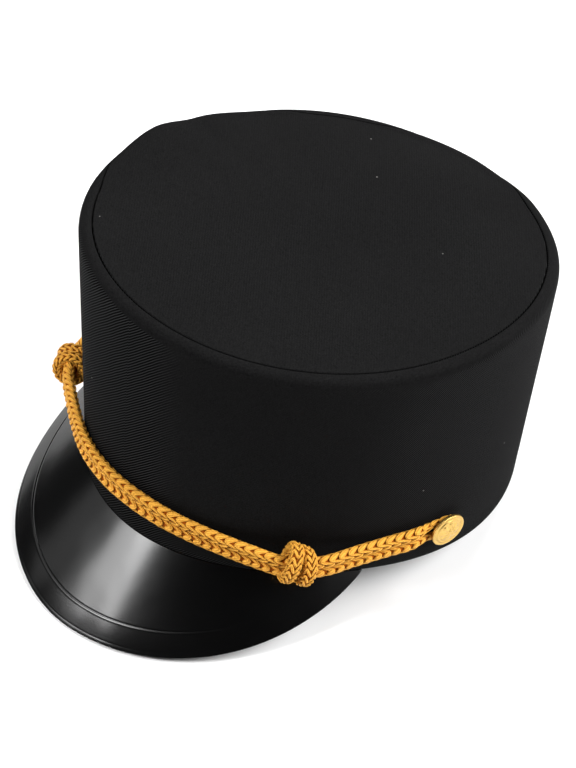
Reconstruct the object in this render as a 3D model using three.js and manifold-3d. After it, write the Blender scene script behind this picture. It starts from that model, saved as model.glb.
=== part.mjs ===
// Conductor hat: a tall drum crown of stiffened twill with a rounded top edge, a glossy moulded
// visor, and a gold cord doubled round two side buttons and tied with two slide knots.
//
// Millimetres, +Z up. The hat is drawn in its own frame, with its hem flat at z = 0, the visor
// towards -Y and the wearer's left towards +X. It is then leaned back into the pose in which it
// rests by itself: on the visor's edge and on the back of its hem.
// An angle round the hat is in degrees from the front, positive towards the wearer's left.

import * as THREE from "three";
import { mergeVertices } from "three/addons/utils/BufferGeometryUtils.js";
import Module from "manifold-3d";

const wasm = await Module();
wasm.setup();

// ---- Driving dimensions ----

const GAP = 0.3; // between neighbouring pieces
const SEAM_GAP = 0.5; // along the surface; it narrows towards the middle of the rounding
const TOP_LEDGE = 1.0; // of the top panel that follows the edge before its flat begins

// The two outlines of the crown. Each is an oval whose radius swells by small lobes.
const HEM = {
  halfWidth: 92.8,
  halfLength: 101.2,
  forwardLobe: 0.011,
  threeLobe: 0.017,
  fourLobe: 0.016,
};
const TOP = {
  halfWidth: 95.6,
  halfLength: 103.5,
  forwardLobe: 0.023,
  threeLobe: 0.005,
  fourLobe: -0.006,
  forward: 5.0,
};

const CROWN = {
  height: 110.4,
  rise: 0.0524, // how much the top climbs for each millimetre towards the front
  thickness: 2.0,
  edgeRadius: 4.5,
  seamInset: 5.5,
  segments: 96,
};

// How far the top edge lies below its plane round the hat; the stiffening gives way at the back.
const EDGE_DROP = [
  { angle: 0, drop: 0 },
  { angle: 60, drop: 0 },
  { angle: 128, drop: -1.0 },
  { angle: 160, drop: 0.2 },
  { angle: 180, drop: 3.0 },
  { angle: 205, drop: 4.5 },
  { angle: 245, drop: 4.0 },
  { angle: 265, drop: 1.0 },
  { angle: 280, drop: -2.8 },
  { angle: 297, drop: 0 },
  { angle: 360, drop: 0 },
];

const DROP_POWER = 3; // the drop fades this fast down the wall
const PANEL_DROP_POWER = 4; // and this fast towards the middle of the top panel

// How far the top panel has rolled out over the rounded edge: 0 in its place, 1 over the shoulder.
const SEAM_ROLL = [
  { angle: 0, roll: 0 },
  { angle: 158, roll: 0 },
  { angle: 180, roll: 1 },
  { angle: 196, roll: 1 },
  { angle: 216, roll: 0 },
  { angle: 228, roll: 0 },
  { angle: 250, roll: 1 },
  { angle: 292, roll: 1 },
  { angle: 314, roll: 0 },
  { angle: 360, roll: 0 },
];
const ROLLED_REACH = 2.6; // from the start of the rounding to the seam where the panel has rolled

const VISOR = {
  halfSpan: 62.4, // degrees to each side of the front
  length: 50.1,
  slope: 45.3, // degrees below the hem's plane
  outlinePower: 1.67,
  taperPower: 1.097,
  thickness: 1.5,
  grooveInset: 11.3,
  grooveWidth: 1.2,
  grooveDepth: 0.4,
  grooveEnds: 24, // the groove fades out where the visor gets shorter than grooveFull
  grooveFull: 28,
  flangeHeight: 8.0,
  flangeEndHeight: 3.0,
  flangePower: 4, // the flange keeps its height until near its ends
  steps: 44,
};

const CORD = {
  diameter: 5.2,
  spacing: 5.5, // between the two runs, centre to centre
  stepAngle: 5,
  sides: 10,
  joinGap: 0.6, // between its two ends, inside the left knot
  partAngle: 9, // over which the two runs part before a button
};

// The middle of the doubled cord on the crown, the same on both sides of the front. The cord is
// squashed to its thickness under the buttons' heads.
const CORD_ROUTE = [
  { angle: 0, rise: 21.4, standoff: 3.1, thickness: 5.2 },
  { angle: 12, rise: 20.4, standoff: 3.1, thickness: 5.2 },
  { angle: 24, rise: 17.4, standoff: 3.4, thickness: 5.2 },
  { angle: 34, rise: 15.4, standoff: 6.0, thickness: 5.2 },
  { angle: 41, rise: 14.6, standoff: 9.1, thickness: 5.2 },
  { angle: 50, rise: 14.7, standoff: 9.1, thickness: 5.2 },
  { angle: 58, rise: 15.4, standoff: 5.7, thickness: 5.2 },
  { angle: 66, rise: 16.2, standoff: 3.5, thickness: 5.2 },
  { angle: 74, rise: 17.2, standoff: 3.1, thickness: 5.2 },
  { angle: 79, rise: 17.0, standoff: 1.6, thickness: 2.6 },
  { angle: 84, rise: 17.1, standoff: 1.6, thickness: 2.6 },
  { angle: 92, rise: 17.2, standoff: 1.6, thickness: 2.6 },
];

const BUTTON = {
  angle: 84.1,
  radius: 8.0,
  rimHeight: 1.6,
  rimWidth: 1.1,
  domeHeight: 1.2,
  bevel: 0.4,
  shankRadius: 1.3,
  footRadius: 1.7,
  footHeight: 0.4,
  headStandoff: 3.2,
  segments: 24,
};

const KNOT = {
  leftAngle: 44.4,
  rightAngle: 46.3,
  halfHeight: 10.0,
  halfDepth: 8.3,
  turnHalfWidth: 3.6,
  turnOffset: 3.3,
  turnBody: 0.45, // of a turn's body, as a share of its mid-line's radius
  turnSides: 10,
  turnSteps: 20,
  lean: 9, // degrees that each turn leans in towards the other at the top
  raise: 1.8, // of the knot's middle above the cord's
  channelClearance: 0.45,
  channelAngle: 12, // degrees that the channel runs on past the knot's middle
};

const REST_TILT = 8.9; // degrees that the hat leans back when it rests
const FLOOR_BLOCK = { width: 400, depth: 20 };

const FINISH = {
  twill: { color: 0x1b1b1c, roughness: 0.85, metalness: 0 },
  gloss: { color: 0x0b0b0c, roughness: 0.12, metalness: 0 },
  cord: { color: 0xe3a02e, roughness: 0.55, metalness: 0 },
  gold: { color: 0xd9a03a, roughness: 0.3, metalness: 1 },
};

// ---- Small tools ----

const radians = THREE.MathUtils.degToRad;

// Reads a column of a table at an angle, easing from row to row.
function eased(table, column, angle) {
  const turn = ((angle % 360) + 360) % 360;
  const next = Math.max(1, table.findIndex((row) => row.angle >= turn));
  const [from, to] = [table[next - 1], table[next]];
  const blend = THREE.MathUtils.smoothstep(turn, from.angle, to.angle);
  return THREE.MathUtils.lerp(from[column], to[column], blend);
}

function toSolid(geometry) {
  const bare = geometry.clone();
  bare.deleteAttribute("normal");
  bare.deleteAttribute("uv");
  const merged = mergeVertices(bare, 1e-3);
  const mesh = new wasm.Mesh({
    numProp: 3,
    vertProperties: new Float32Array(merged.attributes.position.array),
    triVerts: new Uint32Array(merged.index.array),
  });
  return new wasm.Manifold(mesh);
}

function toGeometry(solid) {
  const mesh = solid.getMesh();
  const geometry = new THREE.BufferGeometry();
  geometry.setAttribute("position", new THREE.BufferAttribute(mesh.vertProperties, 3));
  geometry.setIndex(new THREE.BufferAttribute(mesh.triVerts, 1));
  geometry.computeVertexNormals();
  return geometry;
}

// Moves every vertex of a geometry to where place(x, y, z) puts it.
function reshape(geometry, place) {
  const position = geometry.attributes.position;
  for (let i = 0; i < position.count; i += 1) {
    const moved = place(position.getX(i), position.getY(i), position.getZ(i));
    position.setXYZ(i, moved.x, moved.y, moved.z);
  }
  geometry.computeVertexNormals();
  return geometry;
}

// Turns a closed section round the hat: each section point [a, b] becomes place(angle, a, b).
// A section that starts and ends on the axis gives a solid disc, and a closed one a ring.
function turned(section, place) {
  const points = section.map(([a, b]) => new THREE.Vector2(a, b));
  const lathe = new THREE.LatheGeometry(points, CROWN.segments);
  const position = lathe.attributes.position;
  for (let i = 0; i < position.count; i += 1) {
    const angle = (360 * Math.floor(i / points.length)) / CROWN.segments;
    const { x: a, y: b } = points[i % points.length];
    const moved = place(angle === 360 ? 0 : angle, a, b);
    position.setXYZ(i, moved.x, moved.y, moved.z);
  }
  lathe.computeVertexNormals();
  return lathe;
}

// ---- The crown's form ----

function ovalRadius(oval, angle) {
  const a = radians(angle);
  const ellipse =
    (oval.halfWidth * oval.halfLength) /
    Math.hypot(oval.halfLength * Math.sin(a), oval.halfWidth * Math.cos(a));
  const lobes =
    oval.forwardLobe * Math.cos(a) +
    oval.threeLobe * Math.cos(3 * a) +
    oval.fourLobe * Math.cos(4 * a);
  return ellipse * (1 + lobes);
}

function outwardAt(angle) {
  return new THREE.Vector3(Math.sin(radians(angle)), -Math.cos(radians(angle)), 0);
}

// A point at a height up the crown, an offset outside its outer face.
function crownPoint(angle, offset, height) {
  const outward = outwardAt(angle);
  const low = outward.clone().multiplyScalar(ovalRadius(HEM, angle) + offset);
  const high = outward.clone().multiplyScalar(ovalRadius(TOP, angle) + offset);
  high.z = CROWN.height - CROWN.rise * high.y;
  high.y -= TOP.forward;
  const level = height / CROWN.height;
  const point = low.lerp(high, level);
  point.z -= eased(EDGE_DROP, "drop", angle) * level ** DROP_POWER;
  return point;
}

// The rounded top edge and the flat beyond it. Reach runs over the surface from the start of the
// rounding, and depth goes into the cloth.
const ROUNDING = (CROWN.edgeRadius * Math.PI) / 2;
const SEAM_REACH = ROUNDING + CROWN.seamInset - CROWN.edgeRadius;
const WALL_HEIGHT = CROWN.height - CROWN.edgeRadius;

function edgePoint(angle, reach, depth) {
  const r = CROWN.edgeRadius;
  const turn = Math.min(reach / r, Math.PI / 2);
  const flat = Math.max(0, reach - ROUNDING);
  const offset = (r - depth) * Math.cos(turn) - r - flat;
  return crownPoint(angle, offset, WALL_HEIGHT + (r - depth) * Math.sin(turn));
}

function seamReach(angle) {
  return THREE.MathUtils.lerp(SEAM_REACH, ROLLED_REACH, eased(SEAM_ROLL, "roll", angle));
}

// ---- Pieces ----

// Section of the side wall: along runs 0 to 1 up the wall and 1 to 2 over the edge to the seam.
function makeCrownSide() {
  const outer = [0, 0.4, 0.7, 1, 1.25, 1.5, 1.75, 2].map((along) => [along, 0]);
  const inner = [2, 1.5, 1, 0.7, 0].map((along) => [along, CROWN.thickness]);
  const section = [...outer, ...inner, outer[0]];
  const place = (angle, along, depth) =>
    along <= 1
      ? crownPoint(angle, -depth, along * WALL_HEIGHT)
      : edgePoint(angle, (along - 1) * seamReach(angle), depth);
  return turned(section, place);
}

// Section of the top panel: along runs 0 to 1 from the seam to the flat, and 1 to 2 to the middle.
function makeCrownTop() {
  const lower = [2, 1.35, 1, 0.5, 0].map((along) => [along, CROWN.thickness]);
  const upper = [0, 0.5, 1, 1.1, 1.35, 1.7, 2].map((along) => [along, 0]);
  const flatReach = SEAM_REACH + SEAM_GAP + TOP_LEDGE;
  const place = (angle, along, depth) => {
    const start = seamReach(angle) + SEAM_GAP;
    if (along <= 1) {
      return edgePoint(angle, THREE.MathUtils.lerp(start, flatReach, along), depth);
    }
    const centre = new THREE.Vector3(0, -TOP.forward, CROWN.height - depth);
    const rest = 2 - along; // of the way from the middle to the edge
    const point = centre.clone().lerp(edgePoint(angle, flatReach, depth), rest);
    // The drop fades inwards faster than the panel's straight lines to its middle would have it.
    point.z += eased(EDGE_DROP, "drop", angle) * (rest - rest ** PANEL_DROP_POWER);
    return point;
  };
  return turned([...lower, ...upper], place);
}

function hemNormal(angle) {
  const step = 0.05;
  const along = crownPoint(angle + step, 0, 0).sub(crownPoint(angle, 0, 0)).normalize();
  return new THREE.Vector3(along.y, -along.x, 0);
}

// The visor's length at a share of its half span, 0 at the front and 1 at its ends.
function visorReach(share) {
  const outline = Math.max(0, 1 - Math.abs(share) ** VISOR.outlinePower);
  return VISOR.length * outline ** (1 / VISOR.taperPower);
}

// The visor's section at a share of its span, as [outward, up] points from the hem's outer edge:
// a flange inside the hem, a floor under it, and the sloping visor with its border groove.
function visorSection(share) {
  const slope = radians(VISOR.slope);
  const reach = visorReach(share);
  const t = VISOR.thickness;
  const inside = -CROWN.thickness - GAP;
  const ending = share ** VISOR.flangePower;
  const flange = THREE.MathUtils.lerp(VISOR.flangeHeight, VISOR.flangeEndHeight, ending);
  const onSlope = (distance, depth) => [
    distance * Math.cos(slope) - depth * Math.sin(slope),
    -GAP - distance * Math.sin(slope) - depth * Math.cos(slope),
  ];
  const border = Math.min(VISOR.grooveInset, reach / 2);
  const halfGroove = Math.min(VISOR.grooveWidth / 2, border / 4);
  const fade = THREE.MathUtils.smoothstep(reach, VISOR.grooveEnds, VISOR.grooveFull);
  const knee = (-t + t * Math.cos(slope)) / Math.sin(slope);
  return [
    [inside - t, flange],
    [inside - t, -GAP - t],
    [knee * Math.cos(slope) - t * Math.sin(slope), -GAP - t],
    onSlope(reach, t),
    onSlope(reach, 0),
    onSlope(reach - border + halfGroove, 0),
    onSlope(reach - border, VISOR.grooveDepth * fade),
    onSlope(reach - border - halfGroove, 0),
    [0, -GAP],
    [inside, -GAP],
    [inside, flange],
  ];
}

function makeVisor() {
  const lastShare = 1 - 1e-3; // the ends keep a trace of the sloping part
  const outline = visorSection(0).map(([x, y]) => new THREE.Vector2(x, y));
  const bar = new THREE.ExtrudeGeometry(new THREE.Shape(outline), {
    steps: VISOR.steps,
    depth: 2,
    bevelEnabled: false,
  });
  return reshape(bar, (x, y, z) => {
    const share = (1 - z) * lastShare;
    const index = outline.findIndex((p) => Math.hypot(p.x - x, p.y - y) < 1e-4);
    const [outward, up] = visorSection(share)[index];
    const angle = share * VISOR.halfSpan;
    const point = crownPoint(angle, 0, 0).addScaledVector(hemNormal(angle), outward);
    point.z += up;
    return point;
  });
}

// ---- The cord, its knots and its buttons ----

// A column of the cord's route as a smooth function of the angle.
function cordColumn(column) {
  const mirrored = CORD_ROUTE.slice(1).reverse().map((row) => ({ ...row, angle: -row.angle }));
  const rows = [...mirrored, ...CORD_ROUTE];
  const angles = rows.map((row) => row.angle);
  const values = rows.map((row) => row[column]);
  const curve = new THREE.CubicInterpolant(angles, values, 1);
  return (angle) => curve.evaluate(angle)[0];
}
const cordRise = cordColumn("rise");
const cordStandoff = cordColumn("standoff");
const cordThickness = cordColumn("thickness");

// The wall's own directions at an angle: outward, along it towards the wearer's left, and up it.
function wallFrame(angle, height) {
  const step = 0.5;
  const along = crownPoint(angle + step, 0, height).sub(crownPoint(angle - step, 0, height));
  const up = crownPoint(angle, 0, height + step).sub(crownPoint(angle, 0, height - step));
  along.normalize();
  up.normalize();
  const outward = new THREE.Vector3().crossVectors(along, up).normalize();
  up.crossVectors(outward, along);
  return { outward, along, up };
}

function wallPoint(angle, height, standoff) {
  return crownPoint(angle, 0, height).addScaledVector(wallFrame(angle, height).outward, standoff);
}

const BIGHT_RADIUS = BUTTON.shankRadius + GAP + 0.1 + CORD.diameter / 2;
const BIGHT_TURNS = [60, 30, 0, -30, -60]; // degrees round the shank from the cord's own direction

// A station of the cord: its middle, the wall's outward direction there, and the share of its
// diameter that it keeps in that direction.
function stationAt(angle, point) {
  const { outward } = wallFrame(angle, cordRise(angle));
  return { point, outward, flatness: cordThickness(angle) / CORD.diameter };
}

// A station on one run of the cord, side 1 for the upper and -1 for the lower. The runs part as
// they near the button, to pass on either side of its shank.
function runStation(angle, side) {
  const partFrom = BUTTON.angle - CORD.partAngle;
  const parting = THREE.MathUtils.smoothstep(Math.abs(angle), partFrom, BUTTON.angle);
  const half = THREE.MathUtils.lerp(CORD.spacing / 2, BIGHT_RADIUS, parting);
  return stationAt(angle, wallPoint(angle, cordRise(angle) + side * half, cordStandoff(angle)));
}

function runStations(fromAngle, toAngle, side) {
  const count = Math.round(Math.abs(toAngle - fromAngle) / CORD.stepAngle);
  return Array.from({ length: count + 1 }, (_, i) =>
    runStation(THREE.MathUtils.lerp(fromAngle, toAngle, i / count), side),
  );
}

// The cord's turn round a button's shank, from the run on startSide to the other.
function bightStations(angle, startSide) {
  const height = cordRise(angle);
  const centre = wallPoint(angle, height, cordStandoff(angle));
  const { along, up } = wallFrame(angle, height);
  return BIGHT_TURNS.map((turn) => {
    const point = centre.clone();
    point.addScaledVector(along, Math.sign(angle) * BIGHT_RADIUS * Math.cos(radians(turn)));
    point.addScaledVector(up, startSide * BIGHT_RADIUS * Math.sin(radians(turn)));
    return stationAt(angle, point);
  });
}

// A tube through a list of stations, with one ring of its sides at each.
function tubeThrough(stations, diameter) {
  const last = stations.length - 1;
  const tube = new THREE.CylinderGeometry(1, 1, last, CORD.sides, last);
  const frames = stations.map(({ point, outward, flatness }, i) => {
    const [before, after] = [stations[Math.max(i - 1, 0)], stations[Math.min(i + 1, last)]];
    const along = after.point.clone().sub(before.point).normalize();
    const across = new THREE.Vector3().crossVectors(outward, along).normalize();
    const away = new THREE.Vector3().crossVectors(along, across);
    return { point, across, away, flatness };
  });
  return reshape(tube, (x, y, z) => {
    const { point, across, away, flatness } = frames[Math.round(y + last / 2)];
    const moved = point.clone().addScaledVector(away, (x * flatness * diameter) / 2);
    return moved.addScaledVector(across, (z * diameter) / 2);
  });
}

function makeCord() {
  const end = THREE.MathUtils.radToDeg(CORD.joinGap / 2 / ovalRadius(HEM, KNOT.leftAngle));
  const stations = [
    ...runStations(KNOT.leftAngle + end, BUTTON.angle, 1),
    ...bightStations(BUTTON.angle, 1),
    ...runStations(BUTTON.angle, -BUTTON.angle, -1),
    ...bightStations(-BUTTON.angle, -1),
    ...runStations(-BUTTON.angle, KNOT.leftAngle - end, 1),
  ];
  return tubeThrough(stations, CORD.diameter);
}

// A slide knot: two oval turns side by side, with a channel through them for the two runs.
function makeKnot(angle) {
  const { outward, along, up } = wallFrame(angle, cordRise(angle));
  const middle = wallPoint(angle, cordRise(angle), cordStandoff(angle));
  middle.addScaledVector(up, KNOT.raise);
  const placed = new THREE.Matrix4().makeBasis(up, outward, along).setPosition(middle);
  const body = KNOT.turnBody;
  const turns = [1, -1].map((side) => {
    const turn = new THREE.TorusGeometry(1, body, KNOT.turnSides, KNOT.turnSteps);
    turn.scale(
      KNOT.halfHeight / (1 + body),
      KNOT.halfDepth / (1 + body),
      KNOT.turnHalfWidth / body,
    );
    turn.rotateY(side * radians(-KNOT.lean));
    turn.translate(0, 0, side * KNOT.turnOffset);
    return toSolid(turn.applyMatrix4(placed));
  });
  const channels = [1, -1].map((side) => {
    const run = runStations(angle - KNOT.channelAngle, angle + KNOT.channelAngle, side);
    return toSolid(tubeThrough(run, CORD.diameter + 2 * KNOT.channelClearance));
  });
  const knot = wasm.Manifold.union(turns).subtract(wasm.Manifold.union(channels));
  return toGeometry(knot);
}

// A side button, turned about its own axis: foot, shank, flat back, rim and low dome.
function makeButton(angle) {
  const { radius, bevel, headStandoff, domeHeight } = BUTTON;
  const footTop = GAP + BUTTON.footHeight;
  const rimTop = headStandoff + BUTTON.rimHeight;
  const profile = [
    [0, GAP],
    [BUTTON.footRadius, GAP],
    [BUTTON.footRadius, footTop],
    [BUTTON.shankRadius, footTop],
    [BUTTON.shankRadius, headStandoff],
    [radius - bevel, headStandoff],
    [radius, headStandoff + bevel],
    [radius, rimTop - bevel],
    [radius - bevel, rimTop],
    [radius - BUTTON.rimWidth, rimTop],
    [radius / 2, rimTop + (3 / 4) * domeHeight], // on the dome's parabola
    [0, rimTop + domeHeight],
  ].map(([x, y]) => new THREE.Vector2(x, y));
  const button = new THREE.LatheGeometry(profile, BUTTON.segments);
  const height = cordRise(angle);
  const { outward, along, up } = wallFrame(angle, height);
  const seat = crownPoint(angle, 0, height);
  button.applyMatrix4(new THREE.Matrix4().makeBasis(up, outward, along).setPosition(seat));
  return button;
}

// ---- Assembly ----

function mesh(name, geometry, finish) {
  const made = new THREE.Mesh(geometry, new THREE.MeshStandardMaterial(finish));
  made.name = name;
  return made;
}

// The hem is cloth, and lies flat where it meets the surface that the hat rests on.
function flattenedOnFloor(geometry, lean, floorHeight) {
  const floor = new THREE.BoxGeometry(FLOOR_BLOCK.width, FLOOR_BLOCK.width, FLOOR_BLOCK.depth);
  floor.translate(0, 0, floorHeight - FLOOR_BLOCK.depth / 2);
  floor.applyMatrix4(lean.clone().invert());
  return toGeometry(toSolid(geometry).subtract(toSolid(floor)));
}

const lean = new THREE.Matrix4().makeRotationX(radians(-REST_TILT));
const visor = makeVisor();
const restingVisor = visor.clone().applyMatrix4(lean);
restingVisor.computeBoundingBox();
const floorHeight = restingVisor.boundingBox.min.z;

const hat = new THREE.Group();
hat.add(
  mesh("crown_side", flattenedOnFloor(makeCrownSide(), lean, floorHeight), FINISH.twill),
  mesh("crown_top", makeCrownTop(), FINISH.twill),
  mesh("visor", visor, FINISH.gloss),
  mesh("chin_cord", makeCord(), FINISH.cord),
  mesh("cord_knot_left", makeKnot(KNOT.leftAngle), FINISH.cord),
  mesh("cord_knot_right", makeKnot(-KNOT.rightAngle), FINISH.cord),
  mesh("side_button_left", makeButton(BUTTON.angle), FINISH.gold),
  mesh("side_button_right", makeButton(-BUTTON.angle), FINISH.gold),
);
hat.setRotationFromMatrix(lean);

// The origin is on the surface below the middle of the hat's box.
const box = new THREE.Box3().setFromObject(hat, true);
const middle = box.getCenter(new THREE.Vector3());
hat.position.set(-middle.x, -middle.y, -floorHeight);

const conductorHat = new THREE.Group();
conductorHat.add(hat);

export default conductorHat;
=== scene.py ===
import math

import bmesh
import bpy
import numpy as np
from mathutils import Matrix, Vector


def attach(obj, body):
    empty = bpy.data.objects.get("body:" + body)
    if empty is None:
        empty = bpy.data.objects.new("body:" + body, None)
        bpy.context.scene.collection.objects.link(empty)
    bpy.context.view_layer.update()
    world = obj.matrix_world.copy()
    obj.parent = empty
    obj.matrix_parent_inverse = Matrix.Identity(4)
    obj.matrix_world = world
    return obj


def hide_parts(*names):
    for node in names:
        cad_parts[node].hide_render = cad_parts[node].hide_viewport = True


bl_info = {
    "name": "Conductor Hat",
    "version": (1, 0, 0),
    "blender": (4, 5, 0),
    "location": "View3D > Sidebar > Hat",
    "description": "Makes a twill conductor hat with a visor, a knitted cord and gold buttons",
    "category": "Object",
}

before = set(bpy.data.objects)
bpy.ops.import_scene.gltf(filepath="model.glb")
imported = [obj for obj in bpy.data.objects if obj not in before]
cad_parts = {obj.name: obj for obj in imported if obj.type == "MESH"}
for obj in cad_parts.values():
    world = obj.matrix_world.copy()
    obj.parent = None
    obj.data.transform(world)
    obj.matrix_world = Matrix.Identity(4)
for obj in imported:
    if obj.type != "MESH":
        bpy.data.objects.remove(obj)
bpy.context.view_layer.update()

# ---- Sizes of the hat, in millimetres, in the hat's own frame ----
# The hem is flat at z = 0, the visor is towards -Y and the wearer's left is +X. An angle is in
# degrees round the hat from the front, positive towards the wearer's left.

MM = 0.001
GAP = 0.3  # between neighbouring pieces
HEM = {"half_width": 92.8, "half_length": 101.2, "lobes": (0.011, 0.017, 0.016)}
TOP = {"half_width": 95.6, "half_length": 103.5, "lobes": (0.023, 0.005, -0.006)}
TOP_FORWARD = 5.0
CROWN_HEIGHT = 110.4
RISE = 0.0524  # of the top towards the front, as a slope
THICKNESS = 2.0
EDGE_RADIUS = 4.5
SEAM_INSET = 5.5
SEAM_GAP = 0.5
SEAM_ALLOWANCE = 3.0  # of the side wall's cloth, under the top panel
ROLLED_REACH = 2.6  # from the start of the rounding to the seam, where the panel has rolled out
# How far the top edge lies below its plane, and how far the top panel has rolled out over it, as a
# share: a row for each angle round the hat.
EDGE_DROP = (
    (0, 0), (60, 0), (128, -1.0), (160, 0.2), (180, 3.0), (205, 4.5),
    (245, 4.0), (265, 1.0), (280, -2.8), (297, 0), (360, 0),
)
SEAM_ROLL = (
    (0, 0), (158, 0), (180, 1), (196, 1), (216, 0), (228, 0),
    (250, 1), (292, 1), (314, 0), (360, 0),
)
ROUNDING = EDGE_RADIUS * math.pi / 2
SEAM_REACH = ROUNDING + SEAM_INSET - EDGE_RADIUS
WALL_HEIGHT = CROWN_HEIGHT - EDGE_RADIUS
UNEVENNESS = 0.12  # of the stiffened cloth
UNEVEN_FROM = 12  # above the hem
FOLD_TURNS = np.radians((20, 40, 58, 74, 90))

VISOR = {
    "half_span": 62.4, "length": 50.1, "slope": 45.3, "outline_power": 1.67,
    "taper_power": 1.097, "thickness": 1.5, "flange": 8.0, "flange_end": 3.0,
}

# The middle of the doubled cord: angle, rise up the wall, distance off it, thickness.
CORD_ROUTE = (
    (0, 21.4, 3.1, 5.2), (12, 20.4, 3.1, 5.2), (24, 17.4, 3.4, 5.2), (34, 15.4, 6.0, 5.2),
    (41, 14.6, 9.1, 5.2), (50, 14.7, 9.1, 5.2), (58, 15.4, 5.7, 5.2), (66, 16.2, 3.5, 5.2),
    (74, 17.2, 3.1, 5.2), (79, 17.0, 1.6, 2.6), (84, 17.1, 1.6, 2.6), (92, 17.2, 1.6, 2.6),
)
CORD_DIAMETER = 5.2
CORD_SPACING = 5.5
PART_ANGLE = 9  # over which the two runs part before a button
BUTTON_ANGLE = 84.1
SHANK_RADIUS = 1.3
DRAWN_IN = 0.6  # how much less the cord's half width is near a button
DRAWN_IN_FROM, DRAWN_IN_OVER = 75, 5  # degrees round the hat
BIGHT_RADIUS = SHANK_RADIUS + GAP + 0.1 + CORD_DIAMETER / 2 - DRAWN_IN
BIGHT_REACH, BIGHT_STEPS = 75, 11  # degrees round the shank to each side, and points

KNOT_ANGLES = {"left": 44.4, "right": -46.3}
KNOT_TIGHTNESS = 0.58  # its stitches' pitch, as a share of the cord's
KNOT_HALF_WIDTH, KNOT_HALF_THICKNESS = 3.05, 2.6
# A knot's two turns: place along the cord, half height, half depth, degrees that its top leans
# towards the wearer's left, how far its front bows away from the other turn, and rise.
KNOT_TURNS = {
    "left": ((-3.3, 7.2, 5.8, 15, 0.2, 2.1), (2.4, 6.3, 5.8, 14, 1.6, 1.8)),
    "right": ((3.2, 6.0, 5.6, -6, 0.4, 0.2), (-3.3, 6.0, 5.6, 4, 0.6, 0.2)),
}

# How the hat rests: leaned back, then set on its visor's edge and the back of its hem.
REST_TILT = math.radians(8.9)
REST_PLACE = (0.0, 17.752, 14.888)


# ---- Settings that a user would change ----


def colour(name, description, default):
    return bpy.props.FloatVectorProperty(
        name=name, description=description, default=default, subtype="COLOR",
        min=0.0, max=1.0, size=3,
    )


def length(name, description, default_mm):
    return bpy.props.FloatProperty(
        name=name, description=description, default=default_mm * MM,
        unit="LENGTH", subtype="DISTANCE", precision=5,
    )


def angle_setting(name, description, degrees):
    return bpy.props.FloatProperty(
        name=name, description=description, default=math.radians(degrees),
        unit="ROTATION", subtype="ANGLE",
    )


class HAT_PG_cloth(bpy.types.PropertyGroup):
    """Sizes and colours of the twill crown."""

    colour: colour("Cloth", "Colour of the twill", (0.0062, 0.0062, 0.0063))
    lint: colour("Lint", "Colour of the few specks of lint", (0.16, 0.155, 0.15))
    rib_pitch: length("Rib pitch", "Distance from one twill rib to the next", 1.04)
    rib_depth: length("Rib depth", "Depth of the furrows between the ribs", 0.16)
    fold_radius: length("Fold radius", "Roundness of the turned edges at the seam", 0.65)


class HAT_PG_visor(bpy.types.PropertyGroup):
    """Sizes and colour of the moulded visor."""

    colour: colour("Plastic", "Colour of the visor", (0.0010, 0.0010, 0.00105))
    groove_inset: length("Border width", "Distance of the border line from the edge", 11.3)
    groove_depth: length("Border depth", "Depth of the border line", 0.10)
    lip_inset: length("Lip width", "Distance of the lip's line from the edge", 1.7)


class HAT_PG_cord(bpy.types.PropertyGroup):
    """Sizes and colours of the knitted cord and its knots."""

    light: colour("Cord", "Colour of the threads that face outwards", (0.88, 0.435, 0.062))
    # The colour deep between the threads is painted shade.
    painted_shade: colour("Between", "Colour deep between the threads", (0.40, 0.085, 0.002))
    stitch_pitch: length("Stitch pitch", "Distance from one stitch to the next", 4.3)


class HAT_PG_button(bpy.types.PropertyGroup):
    """Sizes and colour of the two side buttons."""

    colour: colour("Gold", "Colour of the plated metal", (0.66, 0.43, 0.125))
    radius: length("Radius", "Radius of the button's head", 8.0)
    teeth: bpy.props.IntProperty(
        name="Milling", description="Number of teeth round the rim", default=66, min=12
    )


class HAT_PG_stage(bpy.types.PropertyGroup):
    """Floor, light and camera."""

    floor: colour("Floor", "Colour of the floor", (0.97, 0.97, 0.97))
    azimuth: angle_setting("Azimuth", "Angle of the camera round the hat", 48.48)
    elevation: angle_setting("Elevation", "Angle of the camera above the floor", 47.37)
    roll: angle_setting("Roll", "Turn of the camera about its own axis", -0.53)
    distance: length("Distance", "From the camera to the point that it looks at", 1000.0)
    lens: bpy.props.FloatProperty(
        name="Lens", description="Focal length", default=109.3, unit="CAMERA"
    )


# ---- The crown's form ----


def smooth(t):
    t = np.clip(t, 0, 1)
    return t * t * (3 - 2 * t)


def eased(rows, angle):
    """The value of a table of (angle, value) rows at an angle, easing from row to row."""
    angles, values = np.array(rows, float).T
    turn = np.mod(angle, 360)
    after = np.clip(np.searchsorted(angles, turn), 1, len(angles) - 1)
    before = after - 1
    blend = smooth((turn - angles[before]) / (angles[after] - angles[before]))
    return values[before] + (values[after] - values[before]) * blend


def outward_at(angle):
    a = np.radians(angle)
    return np.stack([np.sin(a), -np.cos(a), np.zeros_like(a)], -1)


def oval_radius(oval, angle):
    a = np.radians(angle)
    width, long = oval["half_width"], oval["half_length"]
    forward, three, four = oval["lobes"]
    lobes = forward * np.cos(a) + three * np.cos(3 * a) + four * np.cos(4 * a)
    return width * long / np.hypot(long * np.sin(a), width * np.cos(a)) * (1 + lobes)


def crown_point(angle, offset, height):
    """A point at a height up the crown, an offset outside its outer face."""
    angle, offset, height = np.broadcast_arrays(
        np.asarray(angle, float), np.asarray(offset, float), np.asarray(height, float)
    )
    outward = outward_at(angle)
    low = outward * (oval_radius(HEM, angle) + offset)[..., None]
    high = outward * (oval_radius(TOP, angle) + offset)[..., None]
    high[..., 2] = CROWN_HEIGHT - RISE * high[..., 1]
    high[..., 1] -= TOP_FORWARD
    level = height / CROWN_HEIGHT
    point = low + (high - low) * level[..., None]
    point[..., 2] -= eased(EDGE_DROP, angle) * level**3
    return point


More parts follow.
